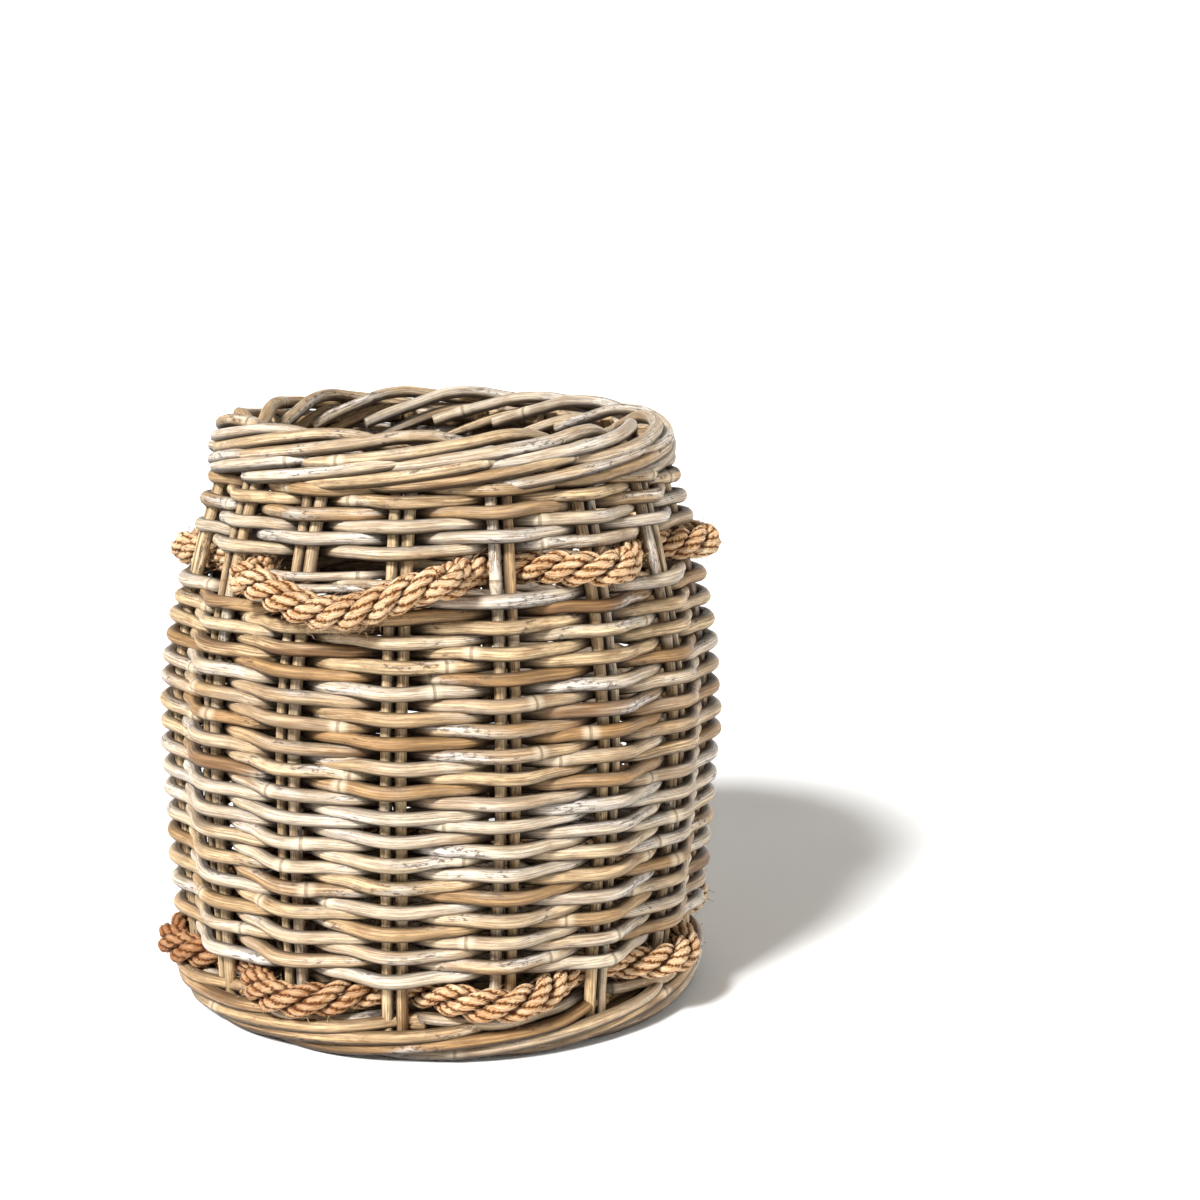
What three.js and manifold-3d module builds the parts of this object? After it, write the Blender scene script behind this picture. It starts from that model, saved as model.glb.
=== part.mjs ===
// A barrel-shaped laundry basket woven from round rattan cane, with a twisted rope laced round its
// shoulder and its foot. Two loops of the shoulder rope hang free as handles. Millimetres, +Z up,
// origin on the floor at the middle of the basket, handles on -Y and +Y.

import * as THREE from 'three';
import { mergeVertices } from 'three/addons/utils/BufferGeometryUtils.js';
import Module from 'manifold-3d';

const wasm = await Module();
wasm.setup();

// Driving dimensions.
const HEIGHT = 462;
const BELLY_RADIUS = 225; // outside of the weave at its widest
const BELLY_HEIGHT = 225;
const RIM_FALL = 54; // how far the wall draws in from the belly to the rim
const RIM_POWER = 1.7;
const FOOT_FALL = 10; // how far it draws in from the belly to the foot
const CANE = 9.2; // a weaver's diameter
const STAKE = 9; // a stake's diameter
const STAKE_SPACING = 9.8; // centre to centre in a pair
const PAIRS = 16;
const ROPE = 26;
const CLEARANCE = 0.3; // between any two pieces that touch

// Heights of the rounds of work, from the floor up.
const FOOT_TOP = 35;
const LOWER_ROPE_HEIGHT = 48.3;
const SIDING_ROWS = [11, 10, 11];
const ROW_PITCH = 9;
const UPPER_ROPE_HEIGHT = 363.2;
const SHOULDER_LOW = 376.5;
const SHOULDER_HIGH = 419;

// Everything below follows from the dimensions above.
const WALL = STAKE + 2 * CANE;
const SEGMENTS = 48;
const PAIR_ANGLE = (2 * Math.PI) / PAIRS;
const ROPE_RADIUS = ROPE / 2;
const ROPE_SWING = ROPE_RADIUS + STAKE / 2 + 1.2; // rope centre to stake centre where it passes a pair
const SIDING_LOW = LOWER_ROPE_HEIGHT + ROPE_RADIUS + CLEARANCE;

const caneMaterial = new THREE.MeshStandardMaterial({ color: 0xb79f78, roughness: 0.62, metalness: 0 });
const stakeMaterial = new THREE.MeshStandardMaterial({ color: 0xc7b594, roughness: 0.6, metalness: 0 });
const ropeMaterial = new THREE.MeshStandardMaterial({ color: 0xc08a52, roughness: 0.9, metalness: 0 });

const basket = new THREE.Group();
basket.name = 'laundry_basket';

// Outside radius of the weave at a height: a flat cosine below the belly, a power curve above it.
function wallRadius(z) {
  if (z > BELLY_HEIGHT) {
    const rise = (z - BELLY_HEIGHT) / (HEIGHT - BELLY_HEIGHT);
    return BELLY_RADIUS - RIM_FALL * rise ** RIM_POWER;
  }
  const drop = 1 - z / BELLY_HEIGHT;
  return BELLY_RADIUS - (FOOT_FALL * (1 - Math.cos(Math.PI * drop))) / 2;
}

function stakeRadius(z) {
  return wallRadius(z) - WALL / 2;
}

function addPiece(name, geometry, material) {
  const mesh = new THREE.Mesh(geometry, material);
  mesh.name = name;
  basket.add(mesh);
  return mesh;
}

// ---- booleans ----

function toManifold(geometry) {
  const bare = geometry.clone();
  bare.deleteAttribute('normal');
  bare.deleteAttribute('uv');
  const merged = mergeVertices(bare, 1e-3);
  const vertProperties = new Float32Array(merged.attributes.position.array);
  const triVerts = new Uint32Array(merged.index.array);
  return new wasm.Manifold(new wasm.Mesh({ numProp: 3, vertProperties, triVerts }));
}

function toGeometry(solid) {
  const mesh = solid.getMesh();
  const geometry = new THREE.BufferGeometry();
  geometry.setAttribute('position', new THREE.BufferAttribute(mesh.vertProperties, 3));
  geometry.setIndex(new THREE.BufferAttribute(mesh.triVerts, 1));
  geometry.computeVertexNormals();
  return geometry;
}

// ---- stakes: sixteen pairs of upright canes, from the foot into the border ----

const STAKE_LOW = 8;
const STAKE_HIGH = HEIGHT - 10;
const STAKE_STEPS = 9;

// Two round canes side by side, joined at their waist, as an outline grown by a margin.
function pairOutline(margin) {
  const radius = STAKE / 2 + margin;
  const centre = STAKE_SPACING / 2;
  const arcPoints = 4;
  const sweep = 1.15;
  const shape = new THREE.Shape();
  for (let i = 0; i <= arcPoints; i += 1) {
    const angle = -sweep + (2 * sweep * i) / arcPoints;
    const x = centre + radius * Math.cos(angle);
    const y = radius * Math.sin(angle);
    if (i === 0) shape.moveTo(x, y);
    else shape.lineTo(x, y);
  }
  for (let i = 0; i <= arcPoints; i += 1) {
    const angle = Math.PI - sweep + (2 * sweep * i) / arcPoints;
    shape.lineTo(-centre + radius * Math.cos(angle), radius * Math.sin(angle));
  }
  return shape;
}

function stakePath(low, high) {
  const points = [];
  for (let i = 0; i <= STAKE_STEPS; i += 1) {
    const z = low + ((high - low) * i) / STAKE_STEPS;
    points.push(new THREE.Vector3(stakeRadius(z), 0, z));
  }
  return new THREE.CatmullRomCurve3(points);
}

function pairGeometry(margin) {
  const options = {
    steps: STAKE_STEPS,
    bevelEnabled: false,
    extrudePath: stakePath(STAKE_LOW - margin, STAKE_HIGH + margin),
  };
  return new THREE.ExtrudeGeometry(pairOutline(margin), options);
}

// Pairs stand half a spacing either side of the handles' centre line.
function pairAzimuth(index) {
  return -Math.PI / 2 + (index + 0.5) * PAIR_ANGLE;
}

const pairShape = pairGeometry(0);
const channelShape = pairGeometry(CLEARANCE);
let channels = null;
for (let i = 0; i < PAIRS; i += 1) {
  const name = `stake_pair_${String(i + 1).padStart(2, '0')}`;
  const pair = addPiece(name, pairShape, stakeMaterial);
  pair.rotation.z = pairAzimuth(i);
  const channel = toManifold(channelShape.clone().rotateZ(pairAzimuth(i)));
  channels = channels ? channels.add(channel) : channel;
}

// ---- woven bands: rings of cane rows that grip the stakes on both sides ----

// A ring from a closed profile of [radius, height] points, walked up the outside.
function ringGeometry(profile) {
  const points = profile.map(([radius, z]) => new THREE.Vector2(radius, z));
  points.push(points[0].clone());
  const ring = new THREE.LatheGeometry(points, SEGMENTS);
  ring.rotateX(Math.PI / 2);
  return ring;
}

function bandProfile(low, high, steps) {
  const outside = [];
  const inside = [];
  for (let i = 0; i <= steps; i += 1) {
    const z = low + ((high - low) * i) / steps;
    outside.push([wallRadius(z), z]);
    inside.unshift([wallRadius(z) - WALL, z]);
  }
  return outside.concat(inside);
}

function addBand(name, profile) {
  const ring = toManifold(ringGeometry(profile));
  addPiece(name, toGeometry(ring.subtract(channels)), caneMaterial);
}

// Foot: slanted strokes of cane plaited into a thick ring that stands on the floor.
const footOutside = wallRadius(0) + 1;
const footInside = wallRadius(0) - WALL - 3;
addBand('foot_border', [
  [footOutside - 8, 0],
  [footOutside, 9],
  [footOutside, FOOT_TOP - 6],
  [footOutside - 3, FOOT_TOP],
  [footInside + 4, FOOT_TOP],
  [footInside, FOOT_TOP - 6],
  [footInside, 9],
  [footInside + 8, 0],
]);

// Siding: three bands of rows, one above the other, between the two ropes.
const BAND_NAMES = ['siding_lower', 'siding_belly', 'siding_upper'];
let bandLow = SIDING_LOW;
SIDING_ROWS.forEach((rows, i) => {
  const bandHigh = bandLow + rows * ROW_PITCH - CLEARANCE;
  addBand(BAND_NAMES[i], bandProfile(bandLow, bandHigh, 3));
  bandLow = bandHigh + CLEARANCE;
});

// Shoulder: five rows above the upper rope.
addBand('shoulder_rows', bandProfile(SHOULDER_LOW, SHOULDER_HIGH, 2));

// Rim: the stakes are turned down and plaited into a rolled border, thicker than the wall.
const rimLow = SHOULDER_HIGH + CLEARANCE;
const rimMiddle = (rimLow + HEIGHT) / 2;
const rimOutside = wallRadius(rimMiddle) + 5;
const rimInside = wallRadius(rimMiddle) - WALL;
addBand('rim_border', [
  [wallRadius(rimLow), rimLow],
  [rimOutside + 2, rimMiddle - 8],
  [rimOutside, rimMiddle + 6],
  [rimOutside - 9, HEIGHT - 5],
  [rimOutside - 18, HEIGHT],
  [rimInside + 9, HEIGHT],
  [rimInside, HEIGHT - 8],
  [rimInside + 2, rimMiddle - 4],
  [wallRadius(rimLow) - WALL, rimLow],
]);

// ---- base: crossed sticks under a woven floor, held inside the foot ----

const BASE_STICK = 9;
const BASE_STICK_PITCH = 46;
const BASE_LIFT = 1.5; // air between the lowest sticks and the floor
const FLOOR_THICKNESS = 9.2;
const STICK_SIDES = 10;
const baseReach = footInside - CLEARANCE - 1;

function addBaseStick(name, offset, height, alongX) {
  const length = 2 * Math.sqrt(baseReach ** 2 - (Math.abs(offset) + BASE_STICK / 2) ** 2);
  const stick = new THREE.CylinderGeometry(BASE_STICK / 2, BASE_STICK / 2, length, STICK_SIDES);
  const piece = addPiece(name, stick, stakeMaterial);
  if (alongX) {
    piece.rotation.z = Math.PI / 2;
    piece.position.set(0, offset, height);
  } else {
    piece.position.set(offset, 0, height);
  }
}

const lowerStickHeight = BASE_LIFT + BASE_STICK / 2;
const upperStickHeight = lowerStickHeight + BASE_STICK + CLEARANCE;
[-1, 0, 1].forEach((step, i) => {
  addBaseStick(`base_stick_lower_${i + 1}`, step * BASE_STICK_PITCH, lowerStickHeight, true);
  addBaseStick(`base_stick_upper_${i + 1}`, step * BASE_STICK_PITCH, upperStickHeight, false);
});

const floorLow = upperStickHeight + BASE_STICK / 2 + CLEARANCE;
const floorProfile = [
  [0, floorLow],
  [baseReach, floorLow],
  [baseReach, floorLow + FLOOR_THICKNESS],
  [0, floorLow + FLOOR_THICKNESS],
];
const floorPoints = floorProfile.map(([radius, z]) => new THREE.Vector2(radius, z));
addPiece('base_weave', new THREE.LatheGeometry(floorPoints, SEGMENTS).rotateX(Math.PI / 2), caneMaterial);

// ---- ropes ----

const ROPE_SIDES = 8;

function ropeSection() {
  const shape = new THREE.Shape();
  for (let i = 0; i < ROPE_SIDES; i += 1) {
    const angle = ((i + 0.5) * 2 * Math.PI) / ROPE_SIDES;
    const x = ROPE_RADIUS * Math.cos(angle);
    const y = ROPE_RADIUS * Math.sin(angle);
    if (i === 0) shape.moveTo(x, y);
    else shape.lineTo(x, y);
  }
  return shape;
}

function ropeGeometry(points, steps) {
  const path = new THREE.CatmullRomCurve3(points, false, 'centripetal');
  path.arcLengthDivisions = 2000;
  return new THREE.ExtrudeGeometry(ropeSection(), { steps, bevelEnabled: false, extrudePath: path });
}

function ringPoint(azimuth, radius, z) {
  return new THREE.Vector3(radius * Math.cos(azimuth), radius * Math.sin(azimuth), z);
}

// Lower rope: outside one pair, inside the next, all the way round. Its ends butt together inside.
const LOWER_STEPS_PER_PAIR = 5;
const lowerRadius = stakeRadius(LOWER_ROPE_HEIGHT);
const endGapAngle = 1 / lowerRadius;
const lowerPoints = [];
const lowerCount = PAIRS * LOWER_STEPS_PER_PAIR;
for (let i = 0; i <= lowerCount; i += 1) {
  const share = i / lowerCount;
  const turn = endGapAngle / 2 + share * (2 * Math.PI - endGapAngle);
  const radius = lowerRadius - ROPE_SWING * Math.cos((turn * PAIRS) / 2);
  lowerPoints.push(ringPoint(pairAzimuth(0) + turn, radius, LOWER_ROPE_HEIGHT));
}
addPiece('lower_rope', ropeGeometry(lowerPoints, lowerCount), ropeMaterial);

// Upper rope: a length down each side of the basket, from handle to handle. It comes out of the wall
// beside a handle and ends at the handle's foot, on a plane square to the hinge line.
const upperRadius = stakeRadius(UPPER_ROPE_HEIGHT);
const outsideRadius = wallRadius(UPPER_ROPE_HEIGHT);
const HANDLE_HALF_SPAN = 76;
const HANDLE_DROP = 20; // how far the slack loop sags below its feet
const HANDLE_OUTSET = 20; // and how far it stands out from them
const FOOT_OVERRUN = 24; // spare rope past a foot, trimmed off square
const hingeReach = Math.sqrt((outsideRadius + ROPE_RADIUS + 0.6) ** 2 - HANDLE_HALF_SPAN ** 2);
const footSlope = (Math.PI * HANDLE_OUTSET) / (2 * HANDLE_HALF_SPAN);

// Swing of the rope from the stakes' circle, out (+1) or in (-1), at the pairs from handle to handle.
const UPPER_LACING = [-1, 1, -1, 1, -1, -1];
const LACING_SHARE = 0.12; // share of a spacing, each side of a pair, over which the rope lies along it

// The way into the wall from a handle's foot, as far as the first pair it passes inside.
function shankPoints(backwards) {
  const side = backwards ? -1 : 1;
  const at = (x, y) => new THREE.Vector3(x, -side * y, UPPER_ROPE_HEIGHT);
  return [
    at(HANDLE_HALF_SPAN - FOOT_OVERRUN, hingeReach + FOOT_OVERRUN * footSlope),
    at(HANDLE_HALF_SPAN, hingeReach),
    at(HANDLE_HALF_SPAN + 3, hingeReach - 6),
    at(HANDLE_HALF_SPAN + 2, hingeReach - 28),
  ];
}

function upperRopePoints() {
  const points = shankPoints(false);
  UPPER_LACING.forEach((side, i) => {
    const azimuth = (i + 1.5) * PAIR_ANGLE - Math.PI / 2;
    const radius = upperRadius + side * ROPE_SWING;
    points.push(ringPoint(azimuth - LACING_SHARE * PAIR_ANGLE, radius, UPPER_ROPE_HEIGHT));
    points.push(ringPoint(azimuth + LACING_SHARE * PAIR_ANGLE, radius, UPPER_ROPE_HEIGHT));
  });
  return points.concat(shankPoints(true).reverse());
}

// A slab across the whole basket that covers every x nearer the middle than a half width.
function middleSlab(halfWidth) {
  return toManifold(new THREE.BoxGeometry(2 * halfWidth, 4 * BELLY_RADIUS, 4 * HEIGHT));
}

const UPPER_STEPS = 48;
const rightPoints = upperRopePoints();
const leftPoints = rightPoints.map((point) => new THREE.Vector3(-point.x, point.y, point.z)).reverse();
const betweenFeet = middleSlab(HANDLE_HALF_SPAN + CLEARANCE / 2);
[['upper_rope_right', rightPoints], ['upper_rope_left', leftPoints]].forEach(([name, points]) => {
  const rope = toManifold(ropeGeometry(points, UPPER_STEPS));
  addPiece(name, toGeometry(rope.subtract(betweenFeet)), ropeMaterial);
});

// Handles: a slack loop from foot to foot that sags and rests near the belly of the wall.
const HANDLE_POINTS = 12;
const HANDLE_STEPS = 18;

function handlePoints(side) {
  const at = (x, y, z) => new THREE.Vector3(side * x, -side * y, z);
  const overrun = hingeReach - FOOT_OVERRUN * footSlope;
  const points = [at(-HANDLE_HALF_SPAN - FOOT_OVERRUN, overrun, UPPER_ROPE_HEIGHT)];
  for (let i = 0; i <= HANDLE_POINTS; i += 1) {
    const share = i / HANDLE_POINTS;
    const bow = Math.sin(Math.PI * share);
    const x = (2 * share - 1) * HANDLE_HALF_SPAN;
    points.push(at(x, hingeReach + HANDLE_OUTSET * bow, UPPER_ROPE_HEIGHT - HANDLE_DROP * bow ** 1.6));
  }
  points.push(at(HANDLE_HALF_SPAN + FOOT_OVERRUN, overrun, UPPER_ROPE_HEIGHT));
  return points;
}

const withinFeet = middleSlab(HANDLE_HALF_SPAN - CLEARANCE / 2);
[['handle_front', 1], ['handle_back', -1]].forEach(([name, side]) => {
  const rope = toManifold(ropeGeometry(handlePoints(side), HANDLE_STEPS));
  addPiece(name, toGeometry(rope.intersect(withinFeet)), ropeMaterial);
});

export default basket;
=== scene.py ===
# A barrel-shaped laundry basket woven from grey-washed round rattan cane, with a left-laid
# three-strand rope laced round its shoulder and its foot and two loops of it left as handles.
# Metres, +Z up, the origin on the floor under the middle, the handles on -Y and +Y.
import math

import bpy
import numpy as np
from mathutils import Matrix, Vector


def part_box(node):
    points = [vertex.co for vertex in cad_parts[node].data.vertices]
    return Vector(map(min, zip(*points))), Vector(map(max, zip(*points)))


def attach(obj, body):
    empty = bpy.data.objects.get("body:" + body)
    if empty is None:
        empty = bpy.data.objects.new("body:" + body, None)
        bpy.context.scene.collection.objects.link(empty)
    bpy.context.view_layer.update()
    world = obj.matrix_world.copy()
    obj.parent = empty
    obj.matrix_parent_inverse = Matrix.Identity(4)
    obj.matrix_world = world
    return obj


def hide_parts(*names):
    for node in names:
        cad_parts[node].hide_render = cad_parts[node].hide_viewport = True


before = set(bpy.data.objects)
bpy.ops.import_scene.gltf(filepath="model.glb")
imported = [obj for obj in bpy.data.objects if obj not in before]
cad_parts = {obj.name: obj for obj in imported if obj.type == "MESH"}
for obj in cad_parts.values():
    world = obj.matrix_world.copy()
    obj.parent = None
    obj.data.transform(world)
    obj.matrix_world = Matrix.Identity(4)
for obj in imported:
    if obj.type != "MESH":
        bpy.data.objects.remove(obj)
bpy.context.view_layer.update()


CAMERA_AZIMUTH = math.radians(20.8)
CAMERA_DISTANCE = 1.640
CAMERA_HEIGHT = 0.639
CAMERA_PITCH = math.radians(11.37)
CAMERA_YAW = math.radians(4.43)
CAMERA_ROLL = math.radians(1.22)
CAMERA_LENS = 61.9
CAMERA_SENSOR = 36.0

heading = CAMERA_YAW - CAMERA_AZIMUTH
forward = Vector((
    math.sin(heading) * math.cos(CAMERA_PITCH),
    math.cos(heading) * math.cos(CAMERA_PITCH),
    -math.sin(CAMERA_PITCH),
))
level_right = Vector((math.cos(heading), -math.sin(heading), 0.0))
level_up = level_right.cross(forward)
right = level_right * math.cos(CAMERA_ROLL) + level_up * math.sin(CAMERA_ROLL)
up = level_up * math.cos(CAMERA_ROLL) - level_right * math.sin(CAMERA_ROLL)
camera_data = bpy.data.cameras.new("camera")
camera_data.lens = CAMERA_LENS
camera_data.sensor_width = CAMERA_SENSOR
camera = bpy.data.objects.new("camera", camera_data)
bpy.context.scene.collection.objects.link(camera)
camera.matrix_world = Matrix((
    (right.x, up.x, -forward.x, CAMERA_DISTANCE * math.sin(CAMERA_AZIMUTH)),
    (right.y, up.y, -forward.y, -CAMERA_DISTANCE * math.cos(CAMERA_AZIMUTH)),
    (right.z, up.z, -forward.z, CAMERA_HEIGHT),
    (0.0, 0.0, 0.0, 1.0),
))
bpy.context.scene.camera = camera

FLOOR_CENTRE = 0.02
FLOOR_RADIUS = 5.0
SWEEP_RADIUS = 1.5
SWEEP_STEPS = 12
WALL_HEIGHT = 3.5
FLOOR_SIDES = 64
FLOOR_COLOUR = (0.93, 0.93, 0.92, 1.0)
FLOOR_ROUGHNESS = 0.7
profile = [(FLOOR_CENTRE, 0.0)]
for step in range(SWEEP_STEPS + 1):
    angle = math.pi / 2.0 * step / SWEEP_STEPS
    reach = FLOOR_RADIUS + SWEEP_RADIUS * math.sin(angle)
    profile.append((reach, SWEEP_RADIUS * (1.0 - math.cos(angle))))
profile.append((FLOOR_RADIUS + SWEEP_RADIUS, WALL_HEIGHT))
floor_points = []
for reach, rise in profile:
    for side in range(FLOOR_SIDES):
        bearing = 2.0 * math.pi * side / FLOOR_SIDES
        floor_points.append((reach * math.cos(bearing), reach * math.sin(bearing), rise))
floor_faces = [tuple(range(FLOOR_SIDES))]
for ring in range(len(profile) - 1):
    for side in range(FLOOR_SIDES):
        here = ring * FLOOR_SIDES + side
        there = ring * FLOOR_SIDES + (side + 1) % FLOOR_SIDES
        floor_faces.append((here, here + FLOOR_SIDES, there + FLOOR_SIDES, there))
floor_mesh = bpy.data.meshes.new("studio_floor")
floor_mesh.from_pydata(floor_points, [], floor_faces)
floor_mesh.polygons.foreach_set("use_smooth", [True] * len(floor_mesh.polygons))
floor = bpy.data.objects.new("studio_floor", floor_mesh)
bpy.context.scene.collection.objects.link(floor)
floor_paint = bpy.data.materials.new("pale_floor")
floor_paint.use_nodes = True
floor_shader = floor_paint.node_tree.nodes["Principled BSDF"]
floor_shader.inputs["Base Color"].default_value = FLOOR_COLOUR
floor_shader.inputs["Roughness"].default_value = FLOOR_ROUGHNESS
floor_mesh.materials.append(floor_paint)

AIR_COLOUR = (1.0, 0.90, 0.78, 1.0)
AIR_STRENGTH = 0.15
world = bpy.data.worlds.new("studio_air")
world.use_nodes = True
air = world.node_tree.nodes["Background"]
air.inputs["Color"].default_value = AIR_COLOUR
air.inputs["Strength"].default_value = AIR_STRENGTH
bpy.context.scene.world = world
bpy.context.scene.view_settings.view_transform = "Standard"
bpy.context.scene.view_settings.look = "None"

KEY_FROM = Vector((-0.34, -0.97, 0.95))
KEY_ENERGY = 5.9
KEY_SPREAD = math.radians(12.0)
key_data = bpy.data.lights.new("key_light", "SUN")
key_data.energy = KEY_ENERGY
key_data.angle = KEY_SPREAD
key_light = bpy.data.objects.new("key_light", key_data)
key_light.rotation_euler = KEY_FROM.to_track_quat("Z", "Y").to_euler()
bpy.context.scene.collection.objects.link(key_light)

FILL_PLACE = Vector((2.0, -1.3, 1.2))
FILL_AIM = Vector((0.0, 0.0, 0.22))
FILL_ENERGY = 6.0
FILL_SIZE = 1.6
fill_data = bpy.data.lights.new("fill_light", "AREA")
fill_data.energy = FILL_ENERGY
fill_data.size = FILL_SIZE
fill_light = bpy.data.objects.new("fill_light", fill_data)
fill_light.location = FILL_PLACE
fill_light.rotation_euler = (FILL_PLACE - FILL_AIM).to_track_quat("Z", "Y").to_euler()
bpy.context.scene.collection.objects.link(fill_light)


# ---- Stakes ----
# Sixteen pairs of round cane stand upright round the basket and carry the weave. Each pair
# starts in the foot, follows the barrel and is turned over into the border at the rim.
rim_low, rim_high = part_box("rim_border")
HEIGHT = rim_high[2]
BELLY_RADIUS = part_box("siding_belly")[1][0]
BELLY_HEIGHT = 0.225
RIM_FALL = 0.054
RIM_POWER = 1.7
FOOT_FALL = 0.010
CANE = 0.0092
STAKE = 0.0096
STAKE_SPACING = 0.0104
PAIRS = 16
PAIR_ANGLE = 2.0 * math.pi / PAIRS
WALL = 0.0274
NODE_SPACING = 0.31
NODE_REACH = 0.0045
NODE_SWELL = 0.09
STOCK_LENGTH = 4.0
CANE_SIDES = 12
UPRIGHT = (0.0, 0.0, 1.0)
STAKE_LOW = 0.006
STAKE_HIGH = HEIGHT - 0.016
rng = np.random.default_rng(41)


def wall_radius(z):
    """Outside radius of the weave at a height."""
    z = np.asarray(z, float)
    rise = np.clip((z - BELLY_HEIGHT) / (HEIGHT - BELLY_HEIGHT), 0.0, None)
    drop = np.clip(1.0 - z / BELLY_HEIGHT, 0.0, 1.0)
    below = FOOT_FALL * (1.0 - np.cos(math.pi * drop)) / 2.0
    return BELLY_RADIUS - RIM_FALL * rise ** RIM_POWER - below


def stake_radius(z):
    return wall_radius(z) - WALL / 2.0


def pair_azimuth(index):
    return -math.pi / 2.0 + (index + 0.5) * PAIR_ANGLE


def around(azimuth, radius, z):
    """Points from cylinder coordinates, as rows of x, y and z."""
    azimuth, radius, z = np.broadcast_arrays(azimuth, radius, z)
    return np.stack([radius * np.cos(azimuth), radius * np.sin(azimuth), z], axis=-1)


def smooth_line(keys, count):
    """A Catmull-Rom line through rows of values, as count rows; the first column sets the pace."""
    keys = np.asarray(keys, float)
    pace = keys[:, 0]
    slope = np.gradient(keys, pace, axis=0)
    at = np.linspace(pace[0], pace[-1], count)
    cell = np.clip(np.searchsorted(pace, at, side="right") - 1, 0, len(pace) - 2)
    width = (pace[cell + 1] - pace[cell])[:, None]
    t = ((at - pace[cell]) / width[:, 0])[:, None]
    a = (1.0 + 2.0 * t) * (1.0 - t) ** 2
    b = t * (1.0 - t) ** 2 * width
    c = t * t * (3.0 - 2.0 * t)
    d = t * t * (t - 1.0) * width
    return a * keys[cell] + b * slope[cell] + c * keys[cell + 1] + d * slope[cell + 1]


def wander(values, waves, size, span=2.0 * math.pi):
    """A slow irregular drift along values, made of a few sine waves."""
    total = np.zeros_like(values, dtype=float)
    for wave in waves:
        strength = rng.uniform(0.4, 1.0)
        total += strength * np.sin(wave * values / span * 2.0 * math.pi + rng.uniform(0.0, 6.3))
    return size * total / len(waves)


def ramp_up(values, low, high):
    t = np.clip((values - low) / (high - low), 0.0, 1.0)
    return t * t * (3.0 - 2.0 * t)


def cane_contact_shade(ring):
    """Canes that lie on each other get painted shade where they touch, more so underneath."""
    return np.maximum(ramp_up(-ring[..., 2], 0.30, 0.85), 0.9 * ramp_up(ring[..., 2], 0.78, 1.0))


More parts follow.
